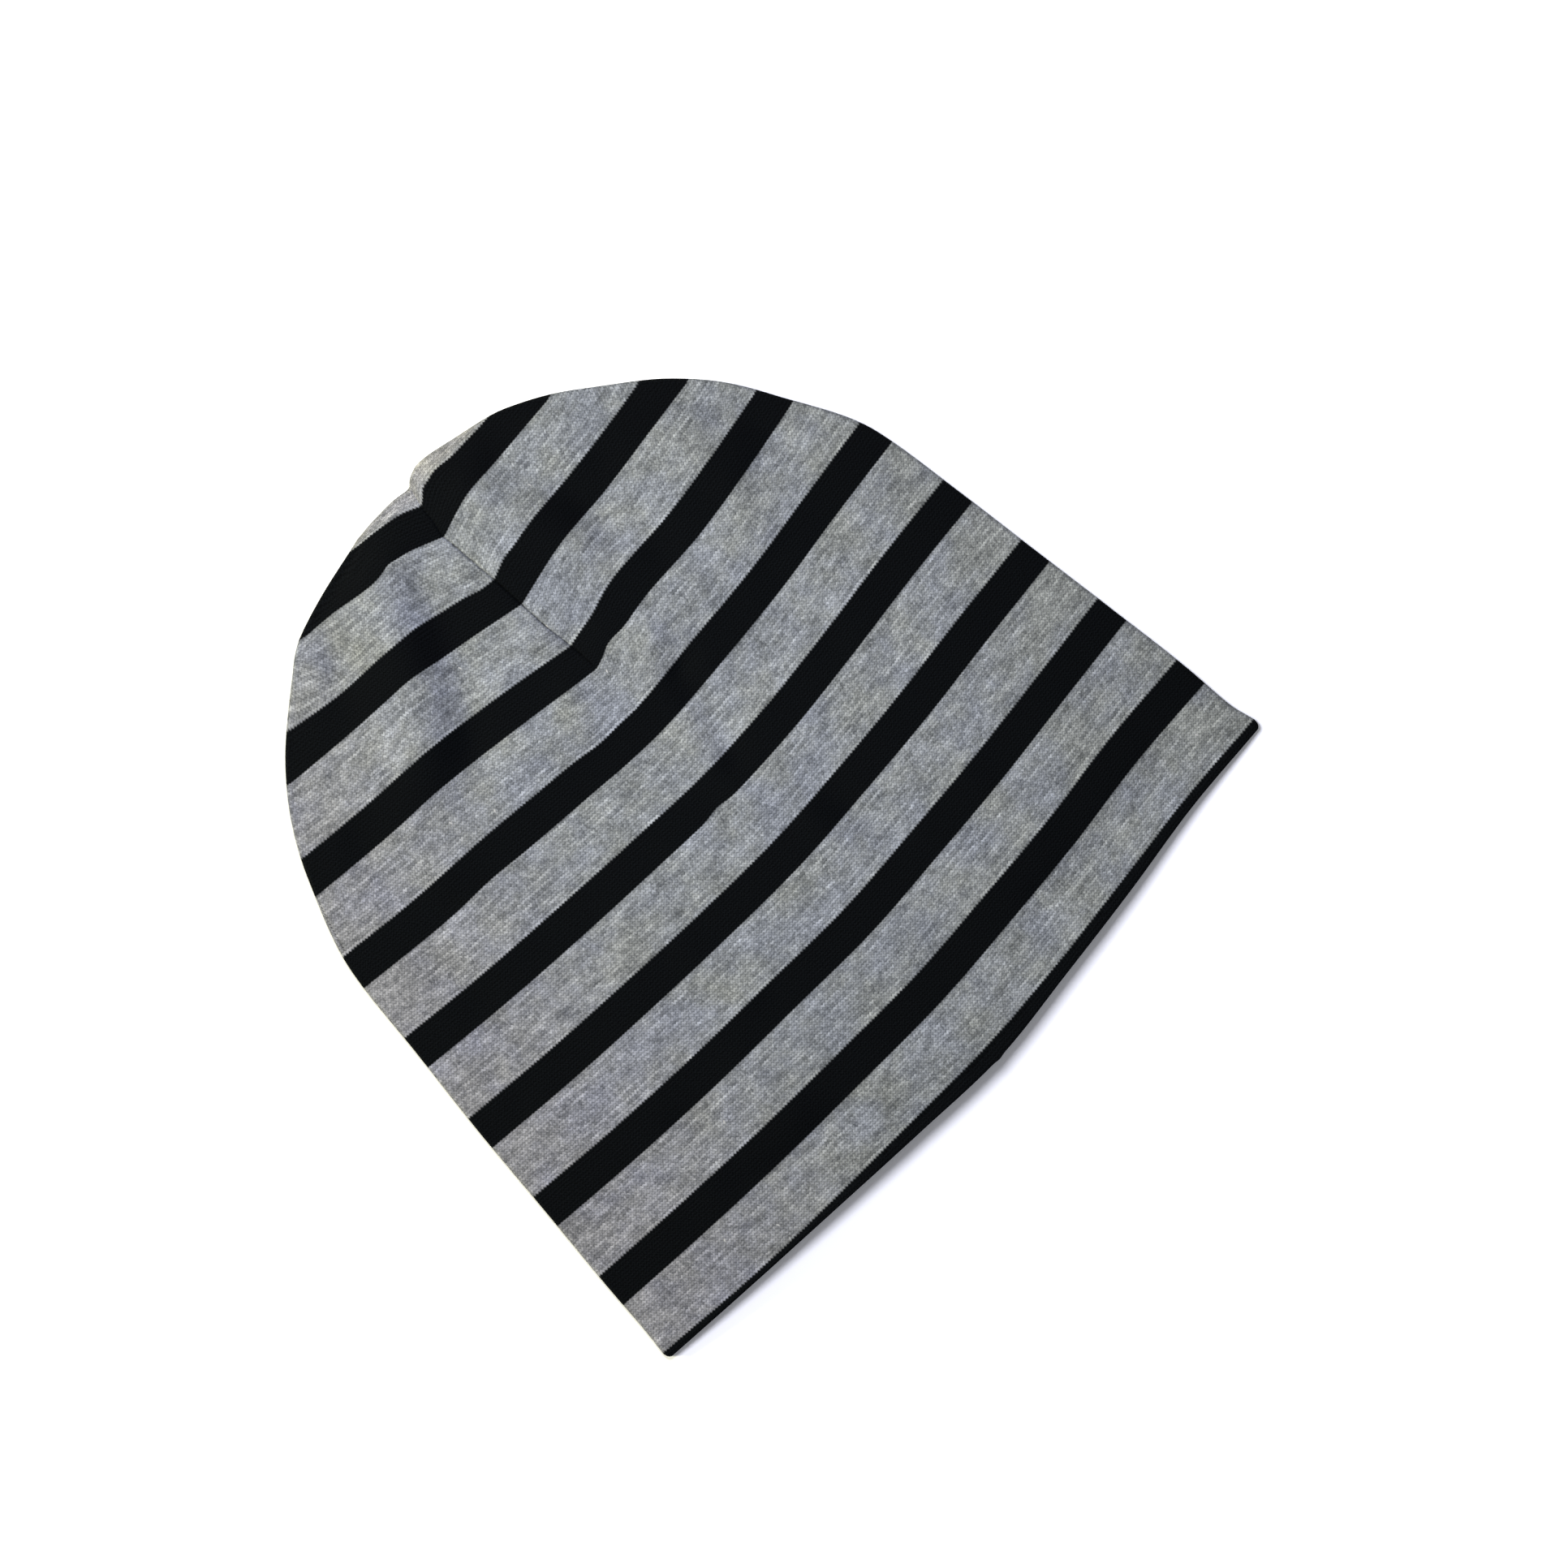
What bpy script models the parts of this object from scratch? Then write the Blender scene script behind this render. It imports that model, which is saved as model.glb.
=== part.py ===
"""A slouch beanie of striped jersey, lying flat on its back panel.

Metres, +Z up. The origin is on the surface that the hat lies on, in the middle of its box.
+Y runs from the hem towards the top of the crown, and +X to the right of someone who looks
down on the hat with the crown away from them.
"""
import math

import bmesh
import bpy
from mathutils import Vector

# Driving dimensions, in metres
HEM_WIDTH = 0.250        # across the flat hem, from fold to fold
CROWN_LENGTH = 0.2262    # from the line between the hem's corners to the notch at the crown's top
HEM_BOW = 0.0108         # how far the middle of the hem bulges past its corners
HEM_DEPTH = 0.0040       # the turned hem's own depth at its middle
CLOTH = 0.0016           # one wall: two layers of jersey
EDGE_HOLLOW = 0.0024     # room left between the walls along the folded edges
MOUTH_HOLLOW = 0.0070    # room between the walls at the middle of the mouth
BODY_HOLLOW = 0.0110     # room between the walls where the hat lies thickest
EDGE_LIP = 0.0004        # upright part of each wall where front and back meet
SEWN_GAP = 0.0003        # clearance between pieces that are sewn together

# The front and back darts, which shape the crown
DART_DEPTH = 0.0013      # how deep the seam pulls the cloth in
DART_HALF_WIDTH = 0.0026
DART_FIRST_ROW = 5.6     # row of SECTIONS where the dart fades in
DART_FULL_ROW = 6.6
DART_TOP_SHARE = 0.4     # what is left of the depth at the crown's top edge
BACK_DART_SHARE = 0.5    # depth of the back dart, pressed flat, against the front one

# The soft folds of the front, and how its walls fill out between their edges
FOLD_DEPTH = 0.0011
FOLD_HALF_WIDTH = 0.0085
FOLD_MARGIN = 0.25       # share of half the width in which the folds die out at the sides
FULLNESS_POWER = 2.4     # higher is flatter in the middle and rounder at the sides
SIDE_INSET_POWER = 3     # higher keeps the inset for the rolled edge closer to the edge
TOP_INSET_ROWS = (6.0, 9.5)
OUTLINE_STEP = 0.25      # rows above and below that give the outline's direction

# One row for each section, from the hem up: the middle lines of the eight black stripes, two
# grey stripes between them and the crown's top edge. Heights along the hat are shares of
# CROWN_LENGTH, widths are shares of half of HEM_WIDTH, and hollow is a share of BODY_HOLLOW.
SECTION_COLUMNS = ("left_y", "mid_left_y", "dart_y", "mid_right_y", "right_y",
                   "left_x", "dart_x", "right_x", "hollow")
SECTIONS = (
    (0.107, 0.086, 0.076, 0.090, 0.111, -0.980, 0.036, 0.987, 0.76),
    (0.239, 0.213, 0.202, 0.215, 0.239, -0.952, 0.036, 0.966, 0.92),
    (0.368, 0.341, 0.327, 0.339, 0.362, -0.921, 0.036, 0.944, 1.00),
    (0.498, 0.469, 0.451, 0.464, 0.487, -0.887, 0.036, 0.921, 1.00),
    (0.627, 0.598, 0.573, 0.587, 0.613, -0.852, 0.038, 0.893, 0.97),
    (0.751, 0.727, 0.688, 0.712, 0.740, -0.763, 0.044, 0.792, 0.90),
    (0.813, 0.792, 0.751, 0.774, 0.798, -0.700, 0.039, 0.735, 0.84),
    (0.875, 0.854, 0.817, 0.837, 0.856, -0.606, 0.037, 0.648, 0.74),
    (0.940, 0.912, 0.883, 0.900, 0.917, -0.457, 0.032, 0.517, 0.60),
    (0.984, 0.971, 0.950, 0.965, 0.974, -0.282, 0.034, 0.367, 0.40),
    (0.997, 1.003, 0.998, 1.010, 0.994, -0.182, 0.053, 0.254, 0.22),
)

# The hem's line: bow as shares of HEM_BOW and depth as shares of HEM_DEPTH, at the same five
# places across the hat as the heights above
HEM_BOW_SHARES = (0.0, 0.59, 1.0, 0.52, 0.0)
HEM_DEPTH_SHARES = (0.30, 0.65, 1.0, 0.80, 0.60)
HEM_SIDE_SHARES = (-1.0, 0.036, 1.0)

# Soft folds: each row is a stretch of a crease or, with a negative depth, of a ridge. Places
# are shares of half of HEM_WIDTH and of CROWN_LENGTH, the rest shares of the two sizes above.
FOLD_COLUMNS = ("from_x", "from_y", "to_x", "to_y", "width", "depth")
FOLDS = (
    (-0.12, 0.93, -0.30, 0.76, 1.0, 0.8),
    (-0.30, 0.76, -0.44, 0.58, 1.1, 0.7),
    (0.02, 0.92, 0.20, 0.79, 1.0, 0.7),
    (0.20, 0.79, 0.38, 0.60, 1.1, 0.8),
    (-0.58, 0.80, -0.72, 0.60, 1.3, -0.7),
    (0.05, 0.67, 0.13, 0.69, 0.6, 0.9),
    (-0.05, 0.62, 0.16, 0.60, 0.9, -0.6),
    (-0.62, 0.40, -0.20, 0.34, 1.6, 0.4),
    (0.16, 0.42, 0.66, 0.36, 1.6, 0.5),
)

# How finely each wall is divided
FRONT_COLUMNS = (-1.0, -0.86, -0.72, -0.58, -0.46, -0.34, -0.23, -0.13, -0.06, -0.024, 0.0,
                 0.024, 0.06, 0.13, 0.23, 0.34, 0.46, 0.58, 0.72, 0.86, 1.0)
BACK_COLUMNS = (-1.0, -0.75, -0.5, -0.25, -0.1, -0.03, 0.0, 0.03, 0.1, 0.25, 0.5, 0.75, 1.0)
FRONT_ROWS_A_SECTION = 3
BACK_ROWS_A_SECTION = 2
ROLL_STEPS = 3
HEM_RINGS = (0.0, 0.55, 1.0)
HEM_ROUNDING = 0.3       # share of the cloth's thickness that rounds the turned hem
HEM_SHARP_ANGLE = math.radians(50)

LAST_ROW = float(len(SECTIONS))
EDGE_HEIGHT = 2 * CLOTH + EDGE_HOLLOW
ROLL = EDGE_HEIGHT / 2

CLOTH_COLOUR = (0.27, 0.28, 0.30, 1.0)
BACK_COLOUR = (0.24, 0.25, 0.27, 1.0)
HEM_COLOUR = (0.008, 0.009, 0.010, 1.0)


def clear_scene():
    for item in list(bpy.data.objects):
        bpy.data.objects.remove(item, do_unlink=True)


def cloth_material(name, colour):
    material = bpy.data.materials.new(name)
    material.use_nodes = True
    shader = material.node_tree.nodes["Principled BSDF"]
    shader.inputs["Base Color"].default_value = colour
    shader.inputs["Roughness"].default_value = 0.92
    shader.inputs["Metallic"].default_value = 0.0
    return material


def fade(value, start, end):
    """0 at start, 1 at end, smooth between them."""
    share = min(1.0, max(0.0, (value - start) / (end - start)))
    return share * share * (3.0 - 2.0 * share)


def through(values, place):
    """A smooth curve through evenly spaced values, read at place."""
    last = len(values) - 1
    index = min(int(place), last - 1)
    share = place - index
    before = values[index - 1] if index > 0 else 2 * values[0] - values[1]
    after = values[index + 2] if index + 2 <= last else 2 * values[last] - values[last - 1]
    start, end = values[index], values[index + 1]
    slope_start = (end - before) / 2
    slope_end = (after - start) / 2
    square, cube = share * share, share * share * share
    return (start * (2 * cube - 3 * square + 1) + slope_start * (cube - 2 * square + share)
            + end * (3 * square - 2 * cube) + slope_end * (cube - square))


def across_curve(five, across, corner=0.0):
    """A line across the hat through five heights; corner, 0 to 1, breaks it at the dart."""
    left, mid_left, middle, mid_right, right = five
    reach = abs(across)
    half, end = (mid_left, left) if across < 0 else (mid_right, right)
    bend = 2 * (end - 2 * half + middle)
    broken = middle + (end - middle - bend) * reach + bend * reach * reach
    smooth = through(five, 2 + 2 * across)
    return smooth + (broken - smooth) * corner


def hem_line(across):
    """Where the turned hem folds over, along the hat."""
    return -HEM_BOW * across_curve(HEM_BOW_SHARES, across)


def hem_depth(across):
    return HEM_DEPTH * across_curve(HEM_DEPTH_SHARES, across)


def section_column(name, row):
    """One column of SECTIONS at any row from 1 up to LAST_ROW."""
    column = SECTION_COLUMNS.index(name)
    return through([section[column] for section in SECTIONS], row - 1)


def side_places(row):
    """Left fold, dart and right fold across the hat, in metres."""
    names = ("left_x", "dart_x", "right_x")
    half = HEM_WIDTH / 2
    first = [share * half for share in HEM_SIDE_SHARES]
    if row >= 1:
        return [section_column(name, row) * half for name in names]
    above = [section_column(name, 1) * half for name in names]
    return [low + (high - low) * row for low, high in zip(first, above)]


def flat_point(across, row):
    """The outline's own plan: across runs from -1 to 1, row from 0 at the hem up."""
    left, middle, right = side_places(row)
    x = middle + (middle - left) * across if across < 0 else middle + (right - middle) * across
    names = SECTION_COLUMNS[:5]
    if row >= 1:
        heights = [section_column(name, row) * CROWN_LENGTH for name in names]
        corner = fade(row, DART_FIRST_ROW - 1.0, DART_FULL_ROW)
        return Vector((x, across_curve(heights, across, corner)))
    heights = [section_column(name, 1) * CROWN_LENGTH for name in names]
    low = hem_line(across) + hem_depth(across) + SEWN_GAP
    high = across_curve(heights, across)
    return Vector((x, low + (high - low) * row))


def side_inward(side, row):
    """Unit vector from the left (-1) or right (1) outline into the hat."""
    low = flat_point(side, max(0.0, row - OUTLINE_STEP))
    high = flat_point(side, min(LAST_ROW, row + OUTLINE_STEP))
    along = (high - low).normalized()
    return Vector((along.y, -along.x)) if side < 0 else Vector((-along.y, along.x))


def inset_point(across, row):
    """A point of the wall inside the rolled edges."""
    point = flat_point(across, row)
    side = -1 if across < 0 else 1
    at_side = abs(across) ** SIDE_INSET_POWER
    at_top = fade(row, *TOP_INSET_ROWS)
    point += side_inward(side, row) * ROLL * at_side
    point.y -= ROLL * at_top * (1 - at_side)
    return point


def hollow_height(across, row):
    """Room between the walls."""
    middle = section_column("hollow", max(row, 1.0)) * BODY_HOLLOW
    if row < 1:
        middle = MOUTH_HOLLOW + (middle - MOUTH_HOLLOW) * row
    middle = max(middle, EDGE_HOLLOW)
    return EDGE_HOLLOW + (middle - EDGE_HOLLOW) * (1 - abs(across) ** FULLNESS_POWER)


def dart_pull(point, row, half_width):
    """How far the dart seam pulls the cloth in, 1 on the seam itself."""
    if row <= DART_FIRST_ROW:
        return 0.0
    offset = (point.x - side_places(row)[1]) / half_width
    at_top = fade(row, LAST_ROW - 2.0, LAST_ROW)
    depth = fade(row, DART_FIRST_ROW, DART_FULL_ROW) * (1 - at_top * (1 - DART_TOP_SHARE))
    return math.exp(-offset * offset) * depth


def fold_pull(point):
    """Sum of the soft folds at a point, as a share of FOLD_DEPTH."""
    total = 0.0
    for row in FOLDS:
        fold = dict(zip(FOLD_COLUMNS, row))
        start = Vector((fold["from_x"] * HEM_WIDTH / 2, fold["from_y"] * CROWN_LENGTH))
        end = Vector((fold["to_x"] * HEM_WIDTH / 2, fold["to_y"] * CROWN_LENGTH))
        along = end - start
        share = min(1.0, max(0.0, (point - start).dot(along) / along.length_squared))
        offset = (point - start - along * share).length / (fold["width"] * FOLD_HALF_WIDTH)
        total += fold["depth"] * math.exp(-offset * offset)
    return total


def front_height(across, row, point):
    """Outer face of the front wall inside its rolled edges."""
    level = 2 * CLOTH + hollow_height(across, row)
    inside = fade(1 - abs(across), 0.0, FOLD_MARGIN) * fade(LAST_ROW - row, 0.0, 1.0)
    inside *= fade(row, 0.0, 1.0)
    level -= FOLD_DEPTH * fold_pull(point) * inside
    return level - DART_DEPTH * dart_pull(point, row, DART_HALF_WIDTH)


def back_height(across, row, point):
    """Outer face of the back wall: flat on the surface but for its dart."""
    return BACK_DART_SHARE * DART_DEPTH * dart_pull(point, row, DART_HALF_WIDTH)


def roll_profile(inner, outer, top, meeting):
    """Points from the wall down round the folded edge to where front and back meet."""
    direction = 1 if top > meeting else -1
    lip = meeting + direction * EDGE_LIP
    points = []
    for step in range(1, ROLL_STEPS + 1):
        angle = math.pi / 2 * step / ROLL_STEPS
        place = inner.lerp(outer, math.sin(angle))
        points.append(Vector((place.x, place.y, lip + (top - lip) * math.cos(angle))))
    points.append(Vector((outer.x, outer.y, meeting)))
    return points


def row_places(rows_a_section):
    count = int(LAST_ROW) * rows_a_section
    return [index / rows_a_section for index in range(count + 1)]


def wall_sheet(columns, rows, height, meeting):
    """The outer face of one wall: a grid over the inset plan and a roll along three sides."""
    sheet = bmesh.new()
    grid = []
    for row in rows:
        line = []
        for across in columns:
            point = inset_point(across, row)
            line.append(sheet.verts.new((point.x, point.y, height(across, row, point))))
        grid.append(line)
    for lower, upper in zip(grid, grid[1:]):
        for index in range(len(columns) - 1):
            sheet.faces.new((lower[index], lower[index + 1], upper[index + 1], upper[index]))
    edge = [(grid[index][0], flat_point(-1, row)) for index, row in enumerate(rows)]
    edge += [(grid[-1][index], flat_point(across, LAST_ROW))
             for index, across in enumerate(columns)][1:-1]
    edge += [(grid[index][-1], flat_point(1, rows[index])) for index in reversed(range(len(rows)))]
    strips = []
    for vertex, outer in edge:
        inner = Vector((vertex.co.x, vertex.co.y))
        profile = roll_profile(inner, outer, vertex.co.z, meeting)
        strips.append([vertex] + [sheet.verts.new(place) for place in profile])
    for near, far in zip(strips, strips[1:]):
        for step in range(len(near) - 1):
            sheet.faces.new((near[step], near[step + 1], far[step + 1], far[step]))
    return sheet


def hat_frame():
    """An empty that puts the middle of the hat's box over the origin."""
    top = max(flat_point(across, LAST_ROW).y for across in FRONT_COLUMNS)
    frame = bpy.data.objects.new("hat", None)
    frame.location.y = (HEM_BOW - top) / 2
    bpy.context.scene.collection.objects.link(frame)
    return frame


def finish_piece(name, sheet, material, facing_up):
    """Turn the faces outwards, make the mesh an object and give it the cloth's thickness."""
    bmesh.ops.recalc_face_normals(sheet, faces=sheet.faces[:])
    heights = [face.calc_center_median().z for face in sheet.faces]
    outermost = max(heights) if facing_up else min(heights)
    face = sheet.faces[:][heights.index(outermost)]
    if (face.normal.z > 0) != facing_up:
        bmesh.ops.reverse_faces(sheet, faces=sheet.faces[:])
    mesh = bpy.data.meshes.new(name)
    sheet.to_mesh(mesh)
    sheet.free()
    mesh.shade_smooth()
    mesh.materials.append(material)
    piece = bpy.data.objects.new(name, mesh)
    bpy.context.scene.collection.objects.link(piece)
    wall = piece.modifiers.new("cloth thickness", "SOLIDIFY")
    wall.thickness = CLOTH
    wall.offset = -1.0
    wall.use_even_offset = True
    wall.use_quality_normals = True
    return piece


def front_panel():
    sheet = wall_sheet(FRONT_COLUMNS, row_places(FRONT_ROWS_A_SECTION), front_height,
                       EDGE_HEIGHT / 2 + SEWN_GAP / 2)
    return finish_piece("front_panel", sheet, cloth_material("striped jersey", CLOTH_COLOUR), True)


def back_panel():
    sheet = wall_sheet(BACK_COLUMNS, row_places(BACK_ROWS_A_SECTION), back_height,
                       EDGE_HEIGHT / 2 - SEWN_GAP / 2)
    return finish_piece("back_panel", sheet, cloth_material("back jersey", BACK_COLOUR), False)


def mouth_loop():
    """Points round the mouth at the walls' lower ends, with their place across the hat."""
    middle = EDGE_HEIGHT / 2
    loop = []
    for across in FRONT_COLUMNS:
        point = inset_point(across, 0.0)
        loop.append((across, Vector((point.x, point.y, front_height(across, 0.0, point)))))
    for side, heights in ((1, (EDGE_HEIGHT, 0.0)), (-1, (0.0, EDGE_HEIGHT))):
        inner = inset_point(side, 0.0)
        outer = flat_point(side, 0.0)
        first = roll_profile(inner, outer, heights[0], middle)
        second = roll_profile(inner, outer, heights[1], middle)
        around = first + list(reversed(second[:-1]))
        loop += [(side, point) for point in around]
        if side > 0:
            for across in reversed(BACK_COLUMNS):
                point = inset_point(across, 0.0)
                loop.append((across, Vector((point.x, point.y, 0.0))))
    return loop


def hem_band():
    """The turned hem, all round the mouth."""
    sheet = bmesh.new()
    rings = []
    loop = mouth_loop()
    for share in HEM_RINGS:
        ring = []
        for across, point in loop:
            drop = SEWN_GAP + hem_depth(across) * share
            ring.append(sheet.verts.new((point.x, point.y - drop, point.z)))
        rings.append(ring)
    count = len(loop)
    for upper, lower in zip(rings, rings[1:]):
        for index in range(count):
            after = (index + 1) % count
            sheet.faces.new((upper[index], upper[after], lower[after], lower[index]))
    piece = finish_piece("hem_band", sheet, cloth_material("black jersey", HEM_COLOUR), True)
    rounding = piece.modifiers.new("turned edge", "BEVEL")
    rounding.width = HEM_ROUNDING * CLOTH
    rounding.segments = 2
    rounding.limit_method = "ANGLE"
    rounding.angle_limit = HEM_SHARP_ANGLE
    return piece


def build():
    clear_scene()
    frame = hat_frame()
    for piece in (front_panel(), back_panel(), hem_band()):
        piece.parent = frame


build()
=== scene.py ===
"""The looks of a slouch beanie of striped jersey that lies flat on its back wall.

Metres, +Z up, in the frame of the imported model. Places along the hat are measured from the
line between the corners of its hem. Rows of its cloth are counted in stripe periods, whole
at the middle of each black stripe. Cloth carries a map named "knit": its first value runs
across the wales and its second along them, both in metres of cloth.
"""
import math

import bmesh
import bpy
import numpy as np
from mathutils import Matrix, Vector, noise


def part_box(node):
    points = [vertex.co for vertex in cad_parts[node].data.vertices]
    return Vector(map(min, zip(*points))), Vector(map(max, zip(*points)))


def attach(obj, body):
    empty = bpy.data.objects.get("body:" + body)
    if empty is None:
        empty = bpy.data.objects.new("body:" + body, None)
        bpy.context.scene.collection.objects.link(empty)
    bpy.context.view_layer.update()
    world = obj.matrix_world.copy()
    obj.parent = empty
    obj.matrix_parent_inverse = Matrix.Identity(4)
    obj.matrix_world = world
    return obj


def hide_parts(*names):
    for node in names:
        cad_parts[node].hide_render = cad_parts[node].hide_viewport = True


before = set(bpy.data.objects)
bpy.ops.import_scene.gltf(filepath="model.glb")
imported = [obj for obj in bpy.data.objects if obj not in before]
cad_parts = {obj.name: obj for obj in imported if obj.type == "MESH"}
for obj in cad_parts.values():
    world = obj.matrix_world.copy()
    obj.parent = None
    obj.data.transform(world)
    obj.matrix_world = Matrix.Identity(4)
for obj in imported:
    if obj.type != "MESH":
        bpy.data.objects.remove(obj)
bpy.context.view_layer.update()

MM = 0.001

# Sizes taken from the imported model
FRONT_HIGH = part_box("front_panel")[1]
BACK_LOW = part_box("back_panel")[0]
HEM_LOW, HEM_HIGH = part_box("hem_band")
MOUTH_HEIGHT = HEM_HIGH[2] - HEM_LOW[2]
BODY_HEIGHT = FRONT_HIGH[2] - BACK_LOW[2]

# Sizes of the cloth
CLOTH = 1.2 * MM
STRIPE_PERIOD = 28.5 * MM
COURSES_A_PERIOD = 28
BLACK_COURSES = 10
BLACK_SHARE = BLACK_COURSES / COURSES_A_PERIOD
WALE = 1.035 * MM
HEM_BULGE = 10.8 * MM
CHORD_Y = HEM_LOW[1] + HEM_BULGE
EDGE_HEIGHT = 3.4 * MM
MEETING_HEIGHT = EDGE_HEIGHT / 2
ROLL = 1.6 * MM
MERGE_DISTANCE = 0.001 * MM
CLOTH_CUT_ANGLE, HEM_CUT_ANGLE = math.radians(55), math.radians(60)

# The photograph's view, straight down. Its distance is a guess.
FRAME_PIXELS = 1932
HEM_WIDTH, HEM_PIXELS = 250 * MM, 1064.7
METRES_A_PIXEL = HEM_WIDTH / HEM_PIXELS
CAMERA_CENTRE = (18.8 * MM, CHORD_Y + 88.4 * MM)
CAMERA_TURN = math.radians(-46.71)
CAMERA_DISTANCE = 1.6
CAMERA_SENSOR = 36.0
CAMERA_REACH = 20.0

# The stripes as they are seen from above, measured in the photograph. One row for the hem's
# colour line, for each black stripe's middle, for some places between and for the crown's top
# edge: its number of stripe periods, its places along the hat in millimetres at the nine
# stations, the dart being the fifth, and the places across of left fold, dart and right fold.
STATIONS = (-1.0, -0.75, -0.5, -0.25, 0.0, 0.25, 0.5, 0.75, 1.0)
LINES = (
    (0.18, (0.9, -2.6, -4.5, -5.6, -6.4, -5.0, -2.2, 0.8, 2.2), -125.1, 4.5, 125.7),
    (0.5, (9.8, 6.7, 4.7, 3.6, 2.9, 4.2, 6.6, 9.5, 11.0), -123.8, 4.5, 123.9),
    (1.0, (24.2, 21.5, 19.4, 18.2, 17.4, 18.7, 20.5, 23.7, 25.0), -122.3, 4.5, 123.3),
    (2.0, (53.8, 50.5, 48.2, 46.9, 45.7, 46.9, 48.6, 51.2, 54.0), -118.6, 4.5, 120.7),
    (3.0, (83.0, 79.6, 77.1, 75.1, 74.0, 75.0, 76.7, 79.4, 81.7), -115.1, 4.5, 117.9),
    (4.0, (112.5, 108.8, 106.0, 103.8, 102.0, 102.5, 104.8, 107.7, 109.9), -110.8, 4.6, 115.1),
    (5.0, (141.6, 137.8, 135.3, 132.2, 129.6, 130.9, 132.7, 135.9, 138.8), -106.6, 5.0, 111.5),
    (6.0, (169.8, 166.8, 164.5, 160.4, 155.6, 160.0, 160.8, 163.6, 167.4), -95.6, 6.0, 98.9),
    (6.5, (183.9, 181.0, 178.8, 174.9, 169.8, 174.2, 175.2, 177.6, 180.3), -87.4, 4.8, 91.8),
    (7.0, (197.7, 195.1, 193.1, 189.4, 184.8, 188.3, 189.5, 191.5, 193.5), -75.6, 4.6, 81.0),
    (7.5, (212.5, 207.6, 206.5, 203.9, 199.4, 202.9, 203.8, 204.8, 207.3), -57.1, 3.9, 64.6),
    (7.82, (218.7, 217.4, 214.9, 214.3, 209.2, 212.6, 213.2, 213.9, 214.5), -48.0, 3.5, 55.2),
    (8.0, (223.2, 220.4, 219.9, 218.0, 214.0, 218.3, 218.3, 218.4, 219.4), -32.9, 4.6, 47.0),
    (8.18, (225.8, 225.0, 224.0, 222.6, 219.8, 223.9, 223.3, 223.3, 223.1), -19.3, 5.4, 39.1),
    (8.38, (226.8, 227.1, 227.1, 226.8, 225.6, 228.8, 228.8, 227.8, 226.6), -14.1, 7.2, 25.8),
)
TOP_PERIOD = LINES[-1][0]

# The hem: its fold along the hat at the nine stations, in millimetres, and its make
HEM_FOLD = (-1.5, -4.1, -6.5, -8.9, -10.8, -8.3, -5.4, -1.9, -0.5)
HEM_JOIN = (3.8, 1.6, 0.3)   # the lump where the hem's ends meet: across, half width, depth
HEM_CORNER_RADIUS = 1.6 * MM
HEM_PIECE_SHARE = 0.8   # of the black between the fold and the colour line
HEM_PROFILE_FLAT, HEM_PROFILE_ROUND = 3, 7   # steps of each face and of the rounded fold
HEM_LEAST_FLAT = 0.05 * MM

# Places where the cloth has crept along the hat, found by comparing renders with the
# photograph: across and along, radii across and along, and the shift towards the crown, in
# millimetres
RIPPLES = (
    (0.5, 97.5, 4.0, 5.0, 0.8),
    (-9.5, 135.0, 6.0, 7.0, -0.6),
    (-60.0, 132.0, 9.0, 6.0, 0.6),
    (14.0, 151.5, 4.5, 4.0, 1.4),
    (17.0, 162.0, 6.0, 4.0, -0.7),
    (-55.0, 154.0, 6.0, 6.0, 0.5),
    (-21.0, 197.0, 7.0, 5.0, 0.6),
    (-33.0, 188.0, 7.0, 5.0, 0.6),
    (0.0, 191.5, 4.0, 4.0, -0.6),
    (10.5, 192.5, 3.5, 4.0, 0.7),
    (-13.6, 215.5, 2.4, 3.0, 0.7),
    (8.9, 224.3, 2.2, 4.0, 1.3),
)

# The dart: stripe periods where it fades in and is whole, where the stripes begin to turn a
# corner at it, its groove, where near the top and by how much the groove gets lower, and where
# its needle line starts, is whole, fades and is faint
DART_START, DART_WHOLE = 5.75, 6.15
CORNER_START = 4.6
DART_PULL, DART_PULL_HALF_WIDTH = 0.5 * MM, 2.6 * MM
DART_LINE, DART_LINE_HALF_WIDTH = 0.5 * MM, 0.4 * MM
BACK_DART_SHARE = 0.5
DART_TOP_START, DART_TOP_LOSS = 7.6, 0.65
NEEDLE_LINE_START, NEEDLE_LINE_WHOLE = 5.83, 5.93
NEEDLE_LINE_FADE, NEEDLE_LINE_FAINT = 7.75, 8.05

# Side seam of the crown: stripe periods where it starts, is whole, fades and has gone under the
# rim, its way in from the rim, which is on the front's left and the back's right, its groove,
# and the stripe period where its dashes are whole
SIDE_SEAM_START, SIDE_SEAM_WHOLE, SIDE_SEAM_FADE, SIDE_SEAM_END = 5.15, 5.3, 5.9, 6.3
SIDE_SEAM_IN_LOW, SIDE_SEAM_IN_HIGH = 2.5 * MM, 1.1 * MM
SIDE_SEAM_DEPTH, SIDE_SEAM_HALF_WIDTH = 0.3 * MM, 0.45 * MM
SIDE_DASHES_WHOLE = 5.25
SEAM_LINE_WIDTH = 0.36 * MM

# How the front swells: shares of its full rise at stripe periods, the room left for the crests
# of its folds, where the mouth's rise begins to fade, and how full it stays towards the sides
SWELL = ((0.0, 0.0), (1.0, 0.45), (2.5, 1.0), (4.5, 1.0), (6.0, 0.86), (7.0, 0.62), (7.5, 0.43),
         (8.0, 0.2), (TOP_PERIOD, 0.0))
CREST_ROOM = 1.0 * MM
MOUTH_FADE_START = 6.0
SIDE_FULLNESS = 2.4
# Folds fade over a share of the half width at the sides and over stripe periods at the ends
FOLD_FADE_SIDE, FOLD_FADE_HEM, FOLD_FADE_TOP = 0.2, (0.1, 0.9), 0.7

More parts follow.
